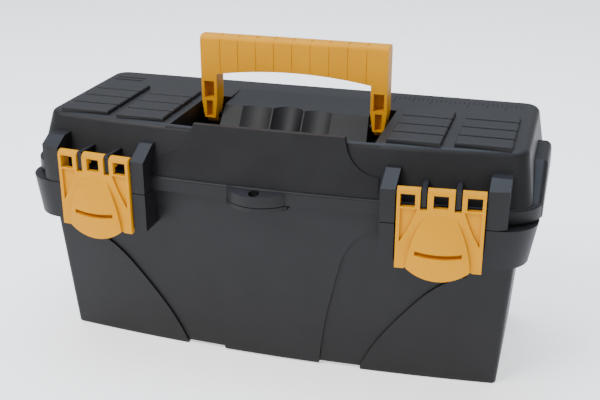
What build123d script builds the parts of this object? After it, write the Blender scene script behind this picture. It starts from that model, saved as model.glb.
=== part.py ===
"""Moulded toolbox with a latched lid, a folding carry handle and a lift-out tray.

Millimetres. X runs along the box, the front faces -Y and Z points up. The origin is on
the standing surface, under the middle of the box.
"""

from build123d import *
import os
from math import cos, radians, sin

os.makedirs("parts", exist_ok=True)

# Shell, shared by tub and lid
WALL = 2.6
BOW = 0.0004  # the front recedes by BOW * x^2 towards the ends
SEAM = 119.5  # height of the lid's lower edge
SEAM_GAP = 0.5

# Tub: the walls lean outwards from the floor to the rim
TUB_LOW_HALF = 150.0
TUB_LOW_FRONT = -55.5
TUB_LOW_REAR = 54.0
TUB_RIM = 123.0
TUB_RIM_HALF = 157.8
TUB_RIM_FRONT = -65.0
TUB_RIM_REAR = 63.0
TUB_CORNER = 3.2
CAVITY_CORNER = 2.0
FOOT_ROUND = 1.5
FLOOR = 3.0
FLANGE = 2.4
FLANGE_HALF = 165.0
FLANGE_FRONT = -66.8
FLANGE_REAR = 65.8

# Recessed bands on the tub's front and underside
BAND_DEPTH = 1.4
BAND_LIFT = 2.6
CENTRE_LIFT = 1.3
BAND_INNER = 33.4
BAND_OUTER = 61.5
BAND_INNER_EDGE = ((BAND_INNER, -1), (37.3, 30.8), (45.6, 68.6), (53.5, 92.0), (72.0, 107.0))
BAND_OUTER_EDGE = ((60.0, -1), (73.0, 25.5), (91.5, 50.4), (104.0, 64.5), (128.0, 79.0))

# Shoulders: towers beside the latches, and ears round the ends
SHOULDER_FRONT = -80.2
SHOULDER_LOW = 94.0
SHOULDER_HALF = 167.5
SHOULDER_LEAN = 0.17
SHOULDER_REAR = 52.0
SHOULDER_CORNER = 22.0
INNER_TOWER = (76.0, 85.0)
OUTER_TOWER = (138.6, 150.5)
TOWER_SHELF = 140.5
TOWER_TOP = 148.5

# Lid
RIM_TOP = 128.7
RIM_HALF = 168.6
RIM_FRONT = -70.0
RIM_REAR = 69.0
LID_LOW_HALF = 163.0
LID_LOW_FRONT = -68.0
LID_LOW_REAR = 67.0
LID_TOP = 160.0
LID_TOP_HALF = 157.8
LID_TOP_FRONT = -56.5
LID_TOP_REAR = 61.0
LID_CORNER = 11.0
SKIRT_DEPTH = 3.8

# Proud panel in the middle of the lid's front, with a raised lip along the well
PANEL_TOP = 163.0
PANEL_TOP_FRONT = -58.8
PANEL_HALF_TOP = 50.5
PANEL_HALF_LOW = 72.0
PANEL_LOW = 141.0
LIP_INNER = -54.6

# Well for the handle
WELL_HALF = 67.0
WELL_REAR = 16.0
WELL_FLOOR = 139.0
BLOCK_HALF = 50.5
BLOCK_HALF_LOW = 52.0
BLOCK_FRONT = 4.0
BLOCK_FRONT_LOW = -11.0
BLOCK_TOP = 158.0
BLOCK_REAR = 38.0
FLUTES = ((-27.0, 10.5, 2.5), (-5.0, 10.5, 5.5), (16.0, 9.5, 2.5))  # middle, half width, depth

# Treads on the lid
TREAD_TOP = 162.6
TREAD_X = ((73.1, 106.2), (113.9, 148.0))
TREAD_PITCH = 17.2
TREAD_DEPTH = 15.0
TREAD_FRONT = -53.3
TREAD_ROWS = 4
TREAD_ROUND = 1.2

# Raised arch on each end of the lid
END_ARCH_X = 168.8
END_ARCH_ROUND = 4.0
RIM_CORNER = 22.0
END_ARCH = (
    (60, SEAM),
    (56, RIM_TOP),
    (44, 138),
    (28, 144.5),
    (-10, 144.5),
    (-30, 135),
    (-46, RIM_TOP),
    (-46, SEAM),
)

# Handle
HANDLE_HALF = 64.1
HANDLE_TOP = 207.2
HANDLE_DEPTH = 12.8
HANDLE_CENTRE = 2.0
LEG_WIDTH = 11.0
GRIP_HEIGHT = 21.5
GRIP_END_HEIGHT = 26.0
LEG_TAPER_TOP = 163.0
LEG_TIP_WIDTH = 6.0
PIVOT_Y = 4.0
PIVOT_Z = 150.5
HANDLE_PIN_R = 2.0
RUNNING = 0.05
GROOVE = 0.7
GROOVE_DEPTH = 0.35
GROOVE_PITCH = 12.5

# Padlock tabs
TAB_X = -4.0
TAB_HALF = 20.0
TAB_REACH = 9.2
TAB_FRONT_TOP = 125.8
TUB_TAB = 2.8
PADLOCK_R = 3.5
PADLOCK_LOW_R = 4.1

# Latches
LATCH_X = 112.0
LATCH_YAW = 5.1
LATCH_FACE = -76.6
LATCH_HALF = 25.9
LATCH_TOP = 142.5
LATCH_LOW = 91.2
LATCH_BELLY = 85.2
BELLY_HALF = 19.0
LATCH_PLATE = 2.8
LATCH_BARREL = 3.8
LATCH_GAP_X = 10.05
LATCH_GAP = 4.2
LATCH_GAP_LOW = 129.8
LATCH_PIN_R = 1.6
WINDOW_LOW = 131.2
WINDOW_TOP = 139.2
LATCH_SKIRT = 9.0
LATCH_DOME = 4.2
CATCH_REACH = 16.0
SUNK = 1.8
HOOK_REACH = 2.3  # stops just short of the catch

# Rear hinge
HINGE_Y = 76.1
HINGE_Z = 121.0
HINGE_R = 5.0
HINGE_PIN_R = 2.0
HINGE_X = 95.0
KNUCKLE = 13.0
KNUCKLE_GAP = 0.4

# Tray
TRAY_LOW = 88.0
TRAY_TOP = 119.0
TRAY_WALL = 2.0
TRAY_LOW_HALF = 149.0
TRAY_TOP_HALF = 151.5
TRAY_LOW_FRONT = -56.5
TRAY_TOP_FRONT = -59.0
TRAY_LOW_REAR = 53.0
TRAY_TOP_REAR = 55.5
TRAY_BAIL_HALF = 50.0
TRAY_BAIL_TOP = 133.5
DIVIDER_X = 70.0
DIVIDER = 1.6
GUIDE = 1.2
GUIDE_GAP = 0.2


def outline(half_length, front, rear, corner, height):
    """Plan outline: the front edge is bowed, the back is straight, the corners are round."""
    recede = BOW * half_length**2
    with BuildSketch(Plane.XY.offset(height)) as plan:
        with BuildLine():
            bow = ThreePointArc(
                (-half_length, front + recede), (0, front), (half_length, front + recede)
            )
            Polyline(bow @ 1, (half_length, rear), (-half_length, rear), bow @ 0)
        make_face()
        fillet(plan.vertices(), corner)
    return plan.sketch


def tapered(lower, upper):
    """Solid between two plan outlines."""
    with BuildPart() as block:
        loft(sections=[lower, upper], ruled=True)
    return block.part


def between(low, high):
    """Box from one corner to the other."""
    size = [high[axis] - low[axis] for axis in range(3)]
    centre = tuple((high[axis] + low[axis]) / 2 for axis in range(3))
    with BuildPart() as block:
        with Locations(centre):
            Box(*size)
    return block.part


def rod(start, end, radius):
    """Round bar between two points."""
    axis = Vector(*end) - Vector(*start)
    with BuildPart() as bar:
        with BuildSketch(Plane(origin=start, z_dir=axis)):
            Circle(radius)
        extrude(amount=axis.length)
    return bar.part


def export(solid, name):
    """Label a finished piece and write it."""
    solid.label = name
    export_step(solid, f"parts/{name}.step")


def shoulder(low, high):
    """Solid with the outer outline of the towers and ears, between two heights."""
    front, rear, corner = SHOULDER_FRONT, SHOULDER_REAR, SHOULDER_CORNER
    low_half = SHOULDER_HALF - (high - low) * SHOULDER_LEAN
    return tapered(
        outline(low_half, front, rear, corner, low),
        outline(SHOULDER_HALF, front, rear, corner, high),
    )


def latch_frame(side):
    """Plane on a latch's outer face: x along the latch, y up, z outwards."""
    turn = radians(LATCH_YAW * side)
    return Plane(
        origin=(side * LATCH_X, LATCH_FACE, 0),
        x_dir=(cos(turn), sin(turn), 0),
        z_dir=(sin(turn), -cos(turn), 0),
    )


# Tub ------------------------------------------------------------------------------------

def tub_inset(inset, low):
    """Tub's outer form moved inwards by an inset, from a height up to the rim."""
    rise = low / TUB_RIM
    low_half = TUB_LOW_HALF + rise * (TUB_RIM_HALF - TUB_LOW_HALF) - inset
    low_front = TUB_LOW_FRONT + rise * (TUB_RIM_FRONT - TUB_LOW_FRONT) + inset
    low_rear = TUB_LOW_REAR + rise * (TUB_RIM_REAR - TUB_LOW_REAR) - inset
    corner = TUB_CORNER if inset < WALL else CAVITY_CORNER
    rim_front = TUB_RIM_FRONT + inset
    rim_rear = TUB_RIM_REAR - inset
    return tapered(
        outline(low_half, low_front, low_rear, corner, low),
        outline(TUB_RIM_HALF - inset, rim_front, rim_rear, corner, TUB_RIM),
    )


def front_band():
    """Upright prism of the recessed band on the right half of the tub's front."""
    with BuildPart() as band:
        with BuildSketch(Plane.XZ.offset(40)):
            with BuildLine():
                inner = Spline(*BAND_INNER_EDGE)
                outer = Spline(*BAND_OUTER_EDGE)
                Polyline(inner @ 1, (100.0, 107.0), outer @ 1)
                Line(inner @ 0, outer @ 0)
            make_face()
        extrude(amount=50)
    return band.part


def make_tub():
    skin = tub_inset(0, 0) - tub_inset(BAND_DEPTH, 0)
    band = front_band()
    cavity = tub_inset(WALL, FLOOR)
    with BuildPart() as tub:
        add(tub_inset(0, 0))
        fillet(tub.edges().group_by(Axis.Z)[0], FOOT_ROUND)
        add(band & skin, mode=Mode.SUBTRACT)
        add((band & skin).mirror(Plane.YZ), mode=Mode.SUBTRACT)
        with BuildSketch(Plane.XY):
            for side in (-1, 1):
                with Locations((side * (BAND_INNER + BAND_OUTER) / 2, 0)):
                    Rectangle(BAND_OUTER - BAND_INNER, 200)
        extrude(amount=BAND_LIFT, mode=Mode.SUBTRACT)
        with BuildSketch(Plane.XY):
            Rectangle(2 * BAND_INNER, 200)
        extrude(amount=CENTRE_LIFT, mode=Mode.SUBTRACT)
        # Flange under the lid's skirt
        with BuildSketch(Plane.XY.offset(TUB_RIM - FLANGE)):
            add(outline(FLANGE_HALF, FLANGE_FRONT, FLANGE_REAR, RIM_CORNER - 4, 0))
        extrude(amount=FLANGE)
        # Towers and ears
        ring = shoulder(SHOULDER_LOW, SEAM - SEAM_GAP)
        for side in (-1, 1):
            for start, end in (INNER_TOWER, (OUTER_TOWER[0], RIM_HALF)):
                x_low, x_high = sorted((side * start, side * end))
                add(ring & between((x_low, -100, 0), (x_high, SHOULDER_REAR, SEAM)))
        # Padlock tab
        with BuildSketch(Plane.XY.offset(SEAM - SEAM_GAP - TUB_TAB)):
            add(tab_outline(TUB_RIM_FRONT + WALL / 2))
        extrude(amount=TUB_TAB)
        # Catches behind the latches
        for side in (-1, 1):
            frame = latch_frame(side)
            with BuildSketch(frame.offset(-5.4)):
                with Locations((0, 111.0)):
                    Rectangle(20, 7)
            extrude(amount=-CATCH_REACH)
        # Hinge arms
        for side in (-1, 1):
            for step in (-1, 1):
                x_mid = side * HINGE_X + step * KNUCKLE
                with BuildSketch(Plane.YZ.offset(x_mid - KNUCKLE / 2 + KNUCKLE_GAP)):
                    with BuildLine():
                        Polyline(
                            (TUB_RIM_REAR - 4, 105.0),
                            (HINGE_Y + 2, HINGE_Z - HINGE_R + 0.5),
                            (HINGE_Y - 1, SEAM - 0.6),
                            (TUB_RIM_REAR - 4, SEAM - 0.6),
                            close=True,
                        )
                    make_face()
                    with Locations((HINGE_Y, HINGE_Z)):
                        Circle(HINGE_R)
                extrude(amount=KNUCKLE - 2 * KNUCKLE_GAP)
        add(cavity, mode=Mode.SUBTRACT)
        # Ribs inside the ends, which the tray stands on
        for side in (-1, 1):
            for y in (-26.0, 24.0):
                x_low, x_high = sorted((side * 140.0, side * 153.0))
                rib_top = TRAY_LOW - 0.3
                rib = between((x_low, y - 1.5, FLOOR - 0.5), (x_high, y + 1.5, rib_top))
                add(rib & tub_inset(WALL / 2, 0))
        for side in (-1, 1):
            add(hinge_bore(side), mode=Mode.SUBTRACT)
        add(padlock_bore(PADLOCK_LOW_R), mode=Mode.SUBTRACT)
    export(tub.part, "tub")
    return tub.part


def hinge_bore(side):
    """Bore through one group of hinge knuckles."""
    reach = 1.5 * KNUCKLE + 1
    return rod(
        (side * HINGE_X - reach, HINGE_Y, HINGE_Z),
        (side * HINGE_X + reach, HINGE_Y, HINGE_Z),
        HINGE_PIN_R + RUNNING,
    )


def padlock_bore(radius):
    """Upright hole through a padlock tab."""
    y = RIM_FRONT - TAB_REACH / 2 + 0.5
    return rod((TAB_X, y, SEAM - 10), (TAB_X, y, RIM_TOP + 10), radius)


def tab_outline(root):
    """Crescent tab in front of the rim, reaching back to its root."""
    left = (TAB_X - TAB_HALF, RIM_FRONT + 1)
    right = (TAB_X + TAB_HALF, RIM_FRONT + 1)
    with BuildSketch() as tab:
        with BuildLine():
            ThreePointArc(left, (TAB_X, RIM_FRONT - TAB_REACH), right)
            Polyline(right, (right[0], root), (left[0], root), left)
        make_face()
    return tab.sketch


# Lid ------------------------------------------------------------------------------------

def lid_body(inset, top):
    """Lid's tapered body above the rim, moved inwards by an inset, up to a height."""
    rise = (top - RIM_TOP) / (LID_TOP - RIM_TOP)
    corner = LID_CORNER - inset
    return tapered(
        outline(LID_LOW_HALF - inset, LID_LOW_FRONT + inset, LID_LOW_REAR - inset, corner, RIM_TOP),
        outline(
            LID_LOW_HALF + rise * (LID_TOP_HALF - LID_LOW_HALF) - inset,
            LID_LOW_FRONT + rise * (LID_TOP_FRONT - LID_LOW_FRONT) + inset,
            LID_LOW_REAR + rise * (LID_TOP_REAR - LID_LOW_REAR) - inset,
            corner,
            top,
        ),
    )


def lid_panel():
    """Proud centre panel of the lid's front, with its lip above the top."""
    slab = tapered(
        outline(LID_LOW_HALF, LID_LOW_FRONT, 0, 5, RIM_TOP),
        outline(LID_TOP_HALF, PANEL_TOP_FRONT, 0, 5, PANEL_TOP),
    )
    with BuildPart() as shape:
        with BuildSketch(Plane.XZ.offset(-LIP_INNER)):
            with BuildLine():
                for side in (-1, 1):
                    low = (side * PANEL_HALF_LOW, PANEL_LOW)
                    middle = (side * 58.0, 146.5)
                    high = (side * PANEL_HALF_TOP, 158.0)
                    ThreePointArc(low, middle, high)
                    Line(low, (side * PANEL_HALF_LOW, RIM_TOP))
                    Line(high, (side * (PANEL_HALF_TOP - 1.5), PANEL_TOP + 1))
                Line((PANEL_HALF_LOW, RIM_TOP), (-PANEL_HALF_LOW, RIM_TOP))
                Line((PANEL_HALF_TOP - 1.5, PANEL_TOP + 1), (1.5 - PANEL_HALF_TOP, PANEL_TOP + 1))
            make_face()
        extrude(amount=40)
    return slab & shape.part


def block_form(inset):
    """Finger block between the handle's legs, moved inwards by an inset."""
    low = WELL_FLOOR - 2 * WALL
    high = LID_TOP + 5 - 4 * inset
    sketches = []
    for height in (low, high):
        rise = (height - WELL_FLOOR) / (BLOCK_TOP - WELL_FLOOR)
        half = BLOCK_HALF_LOW + rise * (BLOCK_HALF - BLOCK_HALF_LOW) - inset
        front = BLOCK_FRONT_LOW + rise * (BLOCK_FRONT - BLOCK_FRONT_LOW) + inset
        rear = WELL_REAR + 2 * WALL
        with BuildSketch(Plane.XY.offset(height)) as plan:
            with BuildLine():
                Polyline((-half, front), (-half, rear), (half, rear), (half, front))
                start = (-half, front)
                for middle, half_width, depth in FLUTES:
                    left = (middle - half_width, front)
                    right = (middle + half_width, front)
                    Line(start, left)
                    ThreePointArc(left, (middle, front + depth), right)
                    start = right
                Line(start, (half, front))
            make_face()
        sketches.append(plan.sketch)
    with BuildPart() as block:
        loft(sections=sketches, ruled=True)
    return block.part


def well(inset):
    """The handle's well round the finger block, grown by an inset."""
    front = LIP_INNER - inset
    half = WELL_HALF + inset
    with BuildPart() as hollow:
        with BuildSketch(Plane.XY.offset(WELL_FLOOR - inset)):
            with BuildLine():
                recede = BOW * half**2
                front_edge = ThreePointArc(
                    (-half, front + recede), (0, front), (half, front + recede)
                )
                Polyline(
                    front_edge @ 1,
                    (half, WELL_REAR + inset),
                    (-half, WELL_REAR + inset),
                    front_edge @ 0,
                )
            make_face()
        extrude(amount=LID_TOP + 5 - WELL_FLOOR + inset)
        add(block_form(inset), mode=Mode.SUBTRACT)
    return hollow.part


def tread(low, high):
    """One raised slab of the lid's treads, with its top edges rounded."""
    with BuildPart() as slab:
        add(between(low, high))
        fillet(slab.edges().group_by(Axis.Z)[-1], TREAD_ROUND)
    return slab.part


def end_arch(side):
    """Raised arch on one end of the lid, with its outer edges rounded."""
    with BuildPart() as arch:
        with BuildSketch(Plane.YZ.offset(side * END_ARCH_X)):
            with BuildLine():
                Polyline(*END_ARCH, close=True)
            make_face()
        extrude(amount=-side * 12)
        outer = arch.faces().sort_by(Axis.X)[-1 if side > 0 else 0]
        fillet(outer.edges().filter_by(lambda edge: edge.center().Z > SEAM + 1), END_ARCH_ROUND)
    return arch.part


def lid_tab():
    """Lid's padlock tab: its top slopes down from the rim's top edge."""
    front = RIM_FRONT - TAB_REACH
    root = RIM_FRONT + WALL / 2
    with BuildPart() as slope:
        with BuildSketch(Plane.YZ.offset(TAB_X - TAB_HALF - 1)):
            with BuildLine():
                Polyline(
                    (root, SEAM),
                    (root, RIM_TOP - 0.6),
                    (RIM_FRONT + 0.5, RIM_TOP - 0.6),
                    (front, TAB_FRONT_TOP),
                    (front - 1, SEAM),
                    close=True,
                )
            make_face()
        extrude(amount=2 * TAB_HALF + 2)
    with BuildPart() as prism:
        with BuildSketch(Plane.XY.offset(SEAM)):
            add(tab_outline(root))
        extrude(amount=RIM_TOP - SEAM)
    return slope.part & prism.part


def lid_underside(half_length, front, rear, corner):
    """Outline one wall inside an outline of the lid."""
    return outline(half_length - WALL, front + WALL, rear - WALL, corner - WALL, 0)


def make_lid():
    with BuildPart() as lid:
        with BuildSketch(Plane.XY.offset(SEAM)):
            add(outline(RIM_HALF, RIM_FRONT, RIM_REAR, RIM_CORNER, 0))
        extrude(amount=RIM_TOP - SEAM)
        fillet(lid.edges().group_by(Axis.Z)[-1], 1.5)
        add(lid_body(0, LID_TOP))
        fillet(lid.edges().group_by(Axis.Z)[-1], 4.5)
        add(lid_panel())
        # Towers beside the latches, sloping back at the top
        ring = shoulder(SEAM, TOWER_TOP)
        with BuildPart(mode=Mode.PRIVATE) as slope:
            with BuildSketch(Plane.YZ.offset(-200)):
                with BuildLine():
                    Polyline(
                        (-90, SEAM),
                        (-90, TOWER_SHELF),
                        (-78, TOWER_SHELF),
                        (-62, TOWER_TOP),
                        (-40, TOWER_TOP),
                        (-40, SEAM),
                        close=True,
                    )
                make_face()
            extrude(amount=400)
        for side in (-1, 1):
            for start, end in (INNER_TOWER, OUTER_TOWER):
                x_low, x_high = sorted((side * start, side * end))
                column = between((x_low, -100, SEAM), (x_high, -50, TOWER_TOP))
                add(ring & slope.part & column)
        # Raised arches on the ends
        for side in (-1, 1):
            add(end_arch(side))
        # Treads
        for side in (-1, 1):
            for start, end in TREAD_X:
                recede = BOW * ((start + end) / 2) ** 2
                for row in range(TREAD_ROWS):
                    y_low = TREAD_FRONT + recede + row * TREAD_PITCH
                    x_low, x_high = sorted((side * start, side * end))
                    y_high = y_low + TREAD_DEPTH
                    add(tread((x_low, y_low, LID_TOP - 1), (x_high, y_high, TREAD_TOP)))
        # Hollow underside
        add(lid_body(WALL, LID_TOP - WALL), mode=Mode.SUBTRACT)
        with BuildSketch(Plane.XY.offset(SEAM)):
            add(lid_underside(LID_LOW_HALF, LID_LOW_FRONT, LID_LOW_REAR, LID_CORNER))
        extrude(amount=RIM_TOP - SEAM, mode=Mode.SUBTRACT)
        with BuildSketch(Plane.XY.offset(SEAM)):
            add(lid_underside(RIM_HALF, RIM_FRONT, RIM_REAR, RIM_CORNER))
        extrude(amount=SKIRT_DEPTH, mode=Mode.SUBTRACT)
        # Handle well and the block between its slots
        shell = between((-100, -60, WELL_FLOOR - WALL), (100, 40, LID_TOP - 1))
        add(well(WALL) & shell)
        add(well(0), mode=Mode.SUBTRACT)
        with BuildSketch(Plane.YZ.offset(-BLOCK_HALF)):
            with BuildLine():
                Polyline(
                    (BLOCK_FRONT - 6, LID_TOP + 1),
                    (BLOCK_FRONT - 6, BLOCK_TOP),
                    (BLOCK_FRONT, BLOCK_TOP),
                    (BLOCK_REAR, LID_TOP),
                    (BLOCK_REAR, LID_TOP + 1),
                    close=True,
                )
            make_face()
        extrude(amount=2 * BLOCK_HALF, mode=Mode.SUBTRACT)
        for side in (-1, 1):
            add(handle_bore(side), mode=Mode.SUBTRACT)
        # Fins that carry the latch pins
        for side in (-1, 1):
            frame = latch_frame(side)
            for x in (-LATCH_GAP_X, LATCH_GAP_X):
                with BuildSketch(frame.offset(-1.2)):
                    with Locations((x, LATCH_TOP - 5.6)):
                        Rectangle(LATCH_GAP - 1.4, 11.6)
                extrude(amount=-17)
            add(latch_pin_bore(side), mode=Mode.SUBTRACT)
        # Padlock tab
        add(lid_tab())
        add(padlock_bore(PADLOCK_R), mode=Mode.SUBTRACT)
        # Hinge knuckles
        for side in (-1, 1):
            with BuildSketch(Plane.YZ.offset(side * HINGE_X - KNUCKLE / 2 + KNUCKLE_GAP)):
                with BuildLine():
                    Polyline(
                        (RIM_REAR - 1, SEAM),
                        (HINGE_Y, HINGE_Z - HINGE_R + 1),
                        (HINGE_Y, HINGE_Z + HINGE_R),
                        (RIM_REAR - 1, RIM_TOP - 1),
                        close=True,
                    )
                make_face()
                with Locations((HINGE_Y, HINGE_Z)):
                    Circle(HINGE_R)
            extrude(amount=KNUCKLE - 2 * KNUCKLE_GAP)
            add(hinge_bore(side), mode=Mode.SUBTRACT)
    export(lid.part, "lid")
    return lid.part


def handle_bore(side):
    """Bore for one handle pin, across a leg slot."""
    x_low, x_high = sorted((side * (BLOCK_HALF - 3.5), side * (WELL_HALF + 3.5)))
    return rod((x_low, PIVOT_Y, PIVOT_Z), (x_high, PIVOT_Y, PIVOT_Z), HANDLE_PIN_R + RUNNING)


def latch_pin_bore(side):
    """Bore for a latch pin, from tower to tower."""
    frame = latch_frame(side)
    depth = -LATCH_BARREL
    height = LATCH_TOP - LATCH_BARREL
    start = frame.from_local_coords((-LATCH_HALF - 4, height, depth))
    end = frame.from_local_coords((LATCH_HALF + 4, height, depth))
    return rod(tuple(start), tuple(end), LATCH_PIN_R + RUNNING)


# Handle ---------------------------------------------------------------------------------

def make_handle():
    depth_front = -(HANDLE_CENTRE - HANDLE_DEPTH / 2)
    leg_inner = HANDLE_HALF - LEG_WIDTH
    leg_middle = HANDLE_HALF - LEG_WIDTH / 2
    tip_inner = leg_middle - LEG_TIP_WIDTH / 2
    tip_outer = leg_middle + LEG_TIP_WIDTH / 2
    tip_low = PIVOT_Z - 5.0
    grip_low = HANDLE_TOP - GRIP_END_HEIGHT
    with BuildPart() as handle:
        with BuildSketch(Plane.XZ.offset(depth_front)):
            with BuildLine():
                crown = (0, HANDLE_TOP - GRIP_HEIGHT)
                ThreePointArc((leg_inner, grip_low), crown, (-leg_inner, grip_low))
                for side in (-1, 1):
                    Polyline(
                        (side * leg_inner, grip_low),
                        (side * leg_inner, LEG_TAPER_TOP),
                        (side * tip_inner, tip_low),
                        (side * tip_outer, tip_low),
                        (side * HANDLE_HALF, LEG_TAPER_TOP),
                        (side * HANDLE_HALF, HANDLE_TOP),
                    )
                Line((-HANDLE_HALF, HANDLE_TOP), (HANDLE_HALF, HANDLE_TOP))
            make_face()
        extrude(amount=-HANDLE_DEPTH)
        fillet(handle.edges().group_by(Axis.Z)[-1].filter_by(Axis.X), 3.2)
        # Thin grooves round the grip
        for step in range(-4, 5):
            x = step * GROOVE_PITCH
            with BuildSketch(Plane.YZ.offset(x - GROOVE / 2)):
                with Locations((HANDLE_CENTRE, HANDLE_TOP - 20)):
                    Rectangle(HANDLE_DEPTH + 2, 2 * 20 + 2)
                    depth = HANDLE_DEPTH - 2 * GROOVE_DEPTH
                    Rectangle(depth, 40 - 2 * GROOVE_DEPTH, mode=Mode.SUBTRACT)
                with Locations((HANDLE_CENTRE, HANDLE_TOP - 41)):
                    Rectangle(HANDLE_DEPTH + 4, 2 * 16, mode=Mode.SUBTRACT)
            extrude(amount=GROOVE, mode=Mode.SUBTRACT)
        # Leg tips round the pins
        with BuildSketch(Plane.YZ.offset(-HANDLE_HALF)):
            with Locations((PIVOT_Y, tip_low + 2.5)):
                Rectangle(2 * HANDLE_DEPTH, 5)
            with Locations((PIVOT_Y, PIVOT_Z)):
                Circle(5.0, mode=Mode.SUBTRACT)
        extrude(amount=2 * HANDLE_HALF, mode=Mode.SUBTRACT)
        # Pockets in the front of each leg
        for side in (-1, 1):
            for low, high, inset in ((164.5, 176.0, 2.0), (151.5, 162.5, 3.2)):
                with BuildSketch(Plane.XZ.offset(depth_front)):
                    with Locations((side * leg_middle, (low + high) / 2)):
                        Rectangle(LEG_WIDTH - 2 * inset, high - low)
                pocket_depth = 5.2 if high < LEG_TAPER_TOP else 9.0
                extrude(amount=-pocket_depth, mode=Mode.SUBTRACT)
        for side in (-1, 1):
            start = (side * (HANDLE_HALF + 1), PIVOT_Y, PIVOT_Z)
            end = (side * (leg_inner - 1), PIVOT_Y, PIVOT_Z)
            add(rod(start, end, HANDLE_PIN_R + RUNNING), mode=Mode.SUBTRACT)
    export(handle.part, "handle")
    return handle.part


def make_handle_pins():
    for side, name in ((-1, "left"), (1, "right")):
        start = (side * (BLOCK_HALF - 3.0), PIVOT_Y, PIVOT_Z)
        end = (side * (WELL_HALF + 3.0), PIVOT_Y, PIVOT_Z)
        export(rod(start, end, HANDLE_PIN_R), f"handle_pin_{name}")


# Latches --------------------------------------------------------------------------------

def belly_arc():
    """Lower edge of a latch's pull."""
    low = LATCH_LOW + 1
    return ThreePointArc((-BELLY_HALF, low), (0, LATCH_BELLY), (BELLY_HALF, low))


def make_latch(side, name):
    """Spring latch: three arms round a pin, a domed pull, and a hook inside."""
    frame = latch_frame(side)
    pin_height = LATCH_TOP - LATCH_BARREL
    with BuildPart() as latch:
        # Sunken plate, with the belly as its lower edge
        with BuildSketch(frame.offset(-LATCH_PLATE)):
            with BuildLine():
                belly = belly_arc()
                Polyline(
                    belly @ 1,
                    (20.5, LATCH_LOW),
                    (LATCH_HALF, LATCH_LOW),
                    (LATCH_HALF, pin_height),
                    (-LATCH_HALF, pin_height),
                    (-LATCH_HALF, LATCH_LOW),
                    (-20.5, LATCH_LOW),
                    belly @ 0,
                )
            make_face()
        extrude(amount=LATCH_PLATE - SUNK)
        # Rims, arms and the fan below the middle arm stand proud of it
        with BuildSketch(frame.offset(-LATCH_PLATE)):
            for x in (-1, 1):
                with Locations((x * (LATCH_HALF - 1.1), (LATCH_LOW + pin_height) / 2)):
                    Rectangle(2.2, pin_height - LATCH_LOW)
            with BuildLine():
                belly = belly_arc()
                Polyline(
                    belly @ 1,
                    (20.5, LATCH_LOW),
                    (LATCH_HALF, LATCH_LOW),
                    (LATCH_HALF - 2, 108.0),
                )
                Spline((LATCH_HALF - 2, 108.0), (19.0, 117.0), (13.5, 131.0))
                Line((13.5, 131.0), (-13.5, 131.0))
                Spline((-13.5, 131.0), (-19.0, 117.0), (2 - LATCH_HALF, 108.0))
                Polyline(
                    (2 - LATCH_HALF, 108.0),
                    (-LATCH_HALF, LATCH_LOW),
                    (-20.5, LATCH_LOW),
                    belly @ 0,
                )
            make_face()
            with Locations((0, (130.0 + pin_height) / 2)):
                Rectangle(2 * LATCH_HALF, pin_height - 130.0)
        extrude(amount=LATCH_PLATE)
        # Barrel round the pin
        start = frame.from_local_coords((-LATCH_HALF, pin_height, -LATCH_BARREL))
        end = frame.from_local_coords((LATCH_HALF, pin_height, -LATCH_BARREL))
        add(rod(tuple(start), tuple(end), LATCH_BARREL))
        # Side skirts
        for x in (-1, 1):
            with BuildSketch(frame.offset(-LATCH_SKIRT)):
                with Locations((x * (LATCH_HALF - 1.0), (LATCH_LOW + 2 + pin_height) / 2)):
                    Rectangle(2.0, pin_height - LATCH_LOW - 2)
            extrude(amount=LATCH_SKIRT - 1)
        # Domed pull
        with BuildPart(mode=Mode.PRIVATE) as fan:
            with BuildSketch(frame.offset(-1.0)):
                with BuildLine():
                    belly = belly_arc()
                    Spline(belly @ 1, (17.5, 104.0), (8.5, 127.0))
                    Line((8.5, 127.0), (-8.5, 127.0))
                    Spline((-8.5, 127.0), (-17.5, 104.0), belly @ 0)
                make_face()
            extrude(amount=12)
        cap_radius = 27.0
        sphere_radius = (cap_radius**2 + LATCH_DOME**2) / (2 * LATCH_DOME)
        centre = frame.from_local_coords((0, 100.0, LATCH_DOME - sphere_radius))
        with BuildPart(mode=Mode.PRIVATE) as ball:
            with Locations(tuple(centre)):
                Sphere(sphere_radius)
        add(fan.part & ball.part)
        # Windows through the arms and gaps between them
        for x in (-19.5, 0, 19.5):
            with BuildSketch(frame.offset(5)):
                with Locations((x, (WINDOW_LOW + WINDOW_TOP) / 2)):
                    Rectangle(8.8, WINDOW_TOP - WINDOW_LOW)
            extrude(amount=-15.0, mode=Mode.SUBTRACT)
        for x in (-LATCH_GAP_X, LATCH_GAP_X):
            with BuildSketch(frame.offset(5)):
                with Locations((x, (LATCH_GAP_LOW + LATCH_TOP + 2) / 2)):
                    Rectangle(LATCH_GAP, LATCH_TOP + 2 - LATCH_GAP_LOW)
            extrude(amount=-22, mode=Mode.SUBTRACT)
        # Curved finger recess
        with BuildSketch(frame.offset(12)):
            with BuildLine():
                ThreePointArc((-14.0, 101.6), (0, 100.4), (14.0, 101.6))
                Line((14.0, 101.6), (14.0, 104.4))
                ThreePointArc((14.0, 104.4), (0, 103.2), (-14.0, 104.4))
                Line((-14.0, 104.4), (-14.0, 101.6))
            make_face()
        extrude(amount=-12.0, mode=Mode.SUBTRACT)
        # Hook that snaps under the catch
        with BuildSketch(frame.offset(-LATCH_PLATE)):
            with Locations((0, 105.2)):
                Rectangle(17, 3.4)
        extrude(amount=-HOOK_REACH)
        add(latch_pin_bore(side), mode=Mode.SUBTRACT)
    export(latch.part, name)
    return latch.part


def make_latch_pin(side, name):
    frame = latch_frame(side)
    height = LATCH_TOP - LATCH_BARREL
    start = frame.from_local_coords((-LATCH_HALF - 3, height, -LATCH_BARREL))
    end = frame.from_local_coords((LATCH_HALF + 3, height, -LATCH_BARREL))
    export(rod(tuple(start), tuple(end), LATCH_PIN_R), name)


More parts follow.
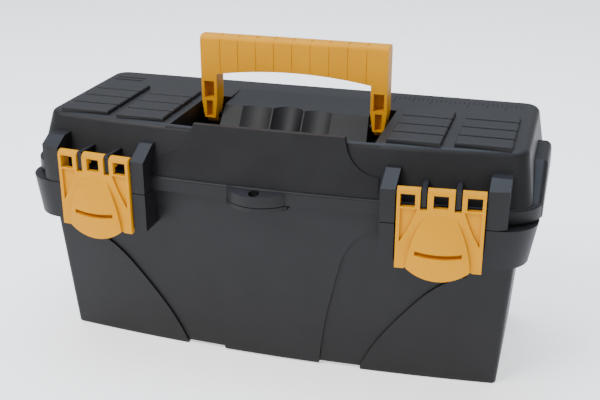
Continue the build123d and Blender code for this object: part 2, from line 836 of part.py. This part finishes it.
def make_hinge_pins():
    for side, name in ((-1, "left"), (1, "right")):
        reach = 1.5 * KNUCKLE - KNUCKLE_GAP
        start = (side * HINGE_X - reach, HINGE_Y, HINGE_Z)
        end = (side * HINGE_X + reach, HINGE_Y, HINGE_Z)
        export(rod(start, end, HINGE_PIN_R), f"hinge_pin_{name}")


# Tray -----------------------------------------------------------------------------------

def tray_form(inset, low):
    rise = (low - TRAY_LOW) / (TRAY_TOP - TRAY_LOW)
    corner = 9.0 - inset
    front = TRAY_TOP_FRONT + inset
    rear = TRAY_TOP_REAR - inset
    return tapered(
        outline(
            TRAY_LOW_HALF + rise * (TRAY_TOP_HALF - TRAY_LOW_HALF) - inset,
            TRAY_LOW_FRONT + rise * (TRAY_TOP_FRONT - TRAY_LOW_FRONT) + inset,
            TRAY_LOW_REAR + rise * (TRAY_TOP_REAR - TRAY_LOW_REAR) - inset,
            corner,
            low,
        ),
        outline(TRAY_TOP_HALF - inset, front, rear, corner, TRAY_TOP),
    )


def make_tray():
    with BuildPart() as tray:
        add(tray_form(0, TRAY_LOW))
        add(tray_form(TRAY_WALL, TRAY_LOW + TRAY_WALL), mode=Mode.SUBTRACT)
        # Spine with the carrying bail
        with BuildSketch(Plane.XZ.offset(-1.5)):
            with Locations((0, (TRAY_LOW + 114.0) / 2 + 0.5)):
                Rectangle(2 * TRAY_TOP_HALF - 4, 114.0 - TRAY_LOW - 1)
            with BuildLine():
                Polyline(
                    (-TRAY_BAIL_HALF - 8, 112.0),
                    (-TRAY_BAIL_HALF, TRAY_BAIL_TOP),
                    (TRAY_BAIL_HALF, TRAY_BAIL_TOP),
                    (TRAY_BAIL_HALF + 8, 112.0),
                    close=True,
                )
            make_face()
            with Locations((0, 117.5)):
                RectangleRounded(2 * TRAY_BAIL_HALF - 14, 20, 8, mode=Mode.SUBTRACT)
        extrude(amount=-3)
        # Cross walls of the rear half
        for x in (-75.0, 0.0, 75.0):
            wall = between((x - 1, 0, TRAY_LOW + 1), (x + 1, TRAY_LOW_REAR, 112.0))
            add(wall & tray_form(1, TRAY_LOW))
        # Pairs of guide ribs for the dividers
        for x in (-DIVIDER_X, DIVIDER_X):
            for step in (-1, 1):
                middle = x + step * (DIVIDER / 2 + GUIDE_GAP + GUIDE / 2)
                for y_low, y_high in ((-3.0, 0.0), (-60.0, -50.6)):
                    low = (middle - GUIDE / 2, y_low, TRAY_LOW + 1)
                    high = (middle + GUIDE / 2, y_high, 112.0)
                    add(between(low, high) & tray_form(1, TRAY_LOW))
    export(tray.part, "tray")
    return tray.part


def make_dividers():
    for side, name in ((-1, "left"), (1, "right")):
        front = TRAY_LOW_FRONT + BOW * DIVIDER_X**2 + TRAY_WALL + 0.5
        plate = between(
            (side * DIVIDER_X - DIVIDER / 2, front, TRAY_LOW + TRAY_WALL + 0.1),
            (side * DIVIDER_X + DIVIDER / 2, -1.8, 113.5),
        )
        export(plate, f"tray_divider_{name}")


make_tub()
make_lid()
make_handle()
make_handle_pins()
for latch_side, latch_name in ((-1, "left"), (1, "right")):
    make_latch(latch_side, f"latch_{latch_name}")
    make_latch_pin(latch_side, f"latch_pin_{latch_name}")
make_hinge_pins()
make_tray()
make_dividers()
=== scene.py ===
"""Looks of the moulded toolbox: materials, surface detail, studio light and camera.

Metres, in the frame's own axes: X along the box, front towards -Y, Z up.
"""

from math import radians

import bpy
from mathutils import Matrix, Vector


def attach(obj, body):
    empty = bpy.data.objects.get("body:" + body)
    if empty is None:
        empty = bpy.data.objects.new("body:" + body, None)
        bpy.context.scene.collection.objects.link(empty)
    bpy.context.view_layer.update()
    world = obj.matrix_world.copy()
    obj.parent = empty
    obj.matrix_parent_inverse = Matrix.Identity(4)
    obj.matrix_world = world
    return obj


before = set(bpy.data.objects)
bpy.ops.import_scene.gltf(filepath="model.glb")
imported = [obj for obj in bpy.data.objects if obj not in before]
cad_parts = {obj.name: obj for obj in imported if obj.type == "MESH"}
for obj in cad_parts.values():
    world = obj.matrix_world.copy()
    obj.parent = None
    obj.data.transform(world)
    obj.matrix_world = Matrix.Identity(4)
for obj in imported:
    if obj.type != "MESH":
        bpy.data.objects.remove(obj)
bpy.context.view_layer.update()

MM = 0.001

# Camera: place, heading and field of view
CAMERA_AT = Vector((0.1793, -0.5991, 0.3503))
CAMERA_YAW = 16.29
CAMERA_PITCH = 22.28
LENS = 58.2
SENSOR = 36.0

# Studio: everything is lit towards this point on the box
LIT_POINT = Vector((0, 0, 0.1))
FLOOR_SIZE = 8.0

# Ruler ticks: a long one each inch, a middle one each half inch
TICKS_PER_INCH = 8
INCH = 25.4
LONG_TICK = 14.0
MIDDLE_TICK = 10.0
SHORT_TICK = 6.0


# Materials ------------------------------------------------------------------------------

class Graph:
    """A material's node tree, with short calls for the nodes used here."""

    def __init__(self, name):
        self.material = bpy.data.materials.new(name)
        self.material.use_nodes = True
        self.tree = self.material.node_tree
        self.shader = self.tree.nodes["Principled BSDF"]

    def add(self, kind, **settings):
        node = self.tree.nodes.new(kind)
        for key, value in settings.items():
            if key in node.inputs:
                node.inputs[key].default_value = value
            else:
                setattr(node, key, value)
        return node

    def link(self, source, output, target, entry):
        self.tree.links.new(source.outputs[output], target.inputs[entry])


def grained_plastic(name, dark, light, rough_low, rough_high, grain, grain_depth):
    """Moulded plastic: mottled colour, uneven gloss and a fine grain in the surface."""
    g = Graph(name)
    place = g.add("ShaderNodeTexCoord")
    mottle = g.add("ShaderNodeTexNoise", Scale=45.0, Detail=5.0, Roughness=0.6)
    g.link(place, "Object", mottle, "Vector")
    tone = g.add("ShaderNodeValToRGB")
    tone.color_ramp.elements[0].position = 0.3
    tone.color_ramp.elements[0].color = (*dark, 1)
    tone.color_ramp.elements[1].position = 0.72
    tone.color_ramp.elements[1].color = (*light, 1)
    g.link(mottle, "Fac", tone, "Fac")
    g.link(tone, "Color", g.shader, "Base Color")
    gloss = g.add("ShaderNodeMapRange")
    gloss.inputs["To Min"].default_value = rough_low
    gloss.inputs["To Max"].default_value = rough_high
    g.link(mottle, "Fac", gloss, "Value")
    g.link(gloss, "Result", g.shader, "Roughness")
    fine = g.add("ShaderNodeTexNoise", Scale=grain, Detail=3.0, Roughness=0.65)
    g.link(place, "Object", fine, "Vector")
    bump = g.add("ShaderNodeBump", Strength=0.35, Distance=grain_depth)
    g.link(fine, "Fac", bump, "Height")
    g.link(bump, "Normal", g.shader, "Normal")
    g.shader.inputs["Specular IOR Level"].default_value = 0.25
    return g


def black_plastic():
    return grained_plastic(
        "black_plastic", (0.0055, 0.0052, 0.0058), (0.009, 0.0086, 0.0098), 0.44, 0.56, 1400.0, 0.00012
    ).material


def orange_plastic():
    g = grained_plastic(
        "orange_plastic", (0.58, 0.245, 0.0), (0.63, 0.27, 0.0), 0.42, 0.5, 500.0, 0.00003
    )
    g.shader.inputs["Specular IOR Level"].default_value = 0.1
    return g.material


def grey_plastic():
    return grained_plastic(
        "grey_plastic", (0.05, 0.05, 0.053), (0.07, 0.07, 0.074), 0.45, 0.58, 1200.0, 0.0001
    ).material


def steel():
    g = grained_plastic("steel", (0.45, 0.45, 0.46), (0.62, 0.62, 0.63), 0.25, 0.4, 900.0, 0.00002)
    g.shader.inputs["Metallic"].default_value = 1.0
    return g.material


def dress(nodes, material):
    for node in nodes:
        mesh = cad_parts[node].data
        mesh.materials.clear()
        mesh.materials.append(material)


charcoal = black_plastic()
dress(("tub", "lid"), charcoal)
dress([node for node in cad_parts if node.startswith(("handle_pin", "latch_pin"))], charcoal)
dress(("handle", "latch_left", "latch_right"), orange_plastic())
dress(("tray", "tray_divider_left", "tray_divider_right"), grey_plastic())
dress(("hinge_pin_left", "hinge_pin_right"), steel())


# Moulded marks on the lid's rear strip, in millimetres ------------------------------------

LID_TOP = 160.0
MARK_RISE = 0.25
TICK_WIDTH = 0.5
TICK_PITCH = INCH / TICKS_PER_INCH
TICK_START = 60.0
TICK_COUNT = 28
TICK_BACK = 51.0
RIDGE_LEFT = -150.0
RIDGE_RIGHT = -128.0
RIDGE_WIDTH = 0.9
RIDGES_AT = (37.0, 43.0)


def raised_marks(name, rectangles):
    """Low raised bars on the lid's flat top, each given by its corners in plan."""
    points = []
    faces = []
    low = LID_TOP - MARK_RISE
    high = LID_TOP + MARK_RISE
    for x_low, y_low, x_high, y_high in rectangles:
        first = len(points)
        for z in (low, high):
            plan = ((x_low, y_low), (x_high, y_low), (x_high, y_high), (x_low, y_high))
            points += [(x * MM, y * MM, z * MM) for x, y in plan]
        sides = [(side, (side + 1) % 4, (side + 1) % 4 + 4, side + 4) for side in range(4)]
        for face in sides + [(3, 2, 1, 0), (4, 5, 6, 7)]:
            faces.append([first + corner for corner in face])
    mesh = bpy.data.meshes.new(name)
    mesh.from_pydata(points, [], faces)
    piece = bpy.data.objects.new(name, mesh)
    bpy.context.scene.collection.objects.link(piece)
    mesh.materials.append(charcoal)
    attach(piece, "lid")


def ruler_ticks():
    ticks = []
    for step in range(TICK_COUNT):
        if step % TICKS_PER_INCH == 0:
            reach = LONG_TICK
        elif step % (TICKS_PER_INCH // 2) == 0:
            reach = MIDDLE_TICK
        else:
            reach = SHORT_TICK
        x = TICK_START + step * TICK_PITCH
        ticks.append((x, TICK_BACK - reach, x + TICK_WIDTH, TICK_BACK))
    return ticks


raised_marks("ruler_ticks", ruler_ticks())
raised_marks("rear_ridges", [(RIDGE_LEFT, y, RIDGE_RIGHT, y + RIDGE_WIDTH) for y in RIDGES_AT])


# Studio ---------------------------------------------------------------------------------

def studio_floor():
    bpy.ops.mesh.primitive_plane_add(size=FLOOR_SIZE, location=(0, 0, 0))
    floor = bpy.context.object
    floor.name = "studio_floor"
    g = Graph("floor_paper")
    g.shader.inputs["Base Color"].default_value = (0.95, 0.95, 0.95, 1)
    g.shader.inputs["Emission Color"].default_value = (1, 1, 1, 1)
    g.shader.inputs["Emission Strength"].default_value = 0.9
    g.shader.inputs["Roughness"].default_value = 0.9
    floor.data.materials.append(g.material)


def soft_light(name, place, size, power, tint=(1, 1, 1)):
    data = bpy.data.lights.new(name, "AREA")
    data.shape = "RECTANGLE"
    data.size, data.size_y = size
    data.energy = power
    data.color = tint
    lamp = bpy.data.objects.new(name, data)
    lamp.location = place
    lamp.rotation_euler = (LIT_POINT - Vector(place)).to_track_quat("-Z", "Y").to_euler()
    bpy.context.scene.collection.objects.link(lamp)


def surroundings():
    world = bpy.data.worlds.new("studio")
    world.use_nodes = True
    background = world.node_tree.nodes["Background"]
    background.inputs["Color"].default_value = (0.95, 0.97, 1.0, 1)
    background.inputs["Strength"].default_value = 0.7
    bpy.context.scene.world = world


def camera():
    data = bpy.data.cameras.new("camera")
    data.lens = LENS
    data.sensor_width = SENSOR
    eye = bpy.data.objects.new("camera", data)
    eye.location = CAMERA_AT
    eye.rotation_euler = (radians(90 - CAMERA_PITCH), 0, radians(CAMERA_YAW))
    bpy.context.scene.collection.objects.link(eye)
    bpy.context.scene.camera = eye


studio_floor()
soft_light("key", (-0.6, -0.9, 1.3), (0.7, 0.7), 24.0)
soft_light("top", (-0.1, 0.35, 1.3), (1.4, 0.9), 24.0, (0.68, 0.8, 1.0))
soft_light("fill", (0.9, -1.3, 0.5), (0.8, 0.8), 2.0)
surroundings()
camera()
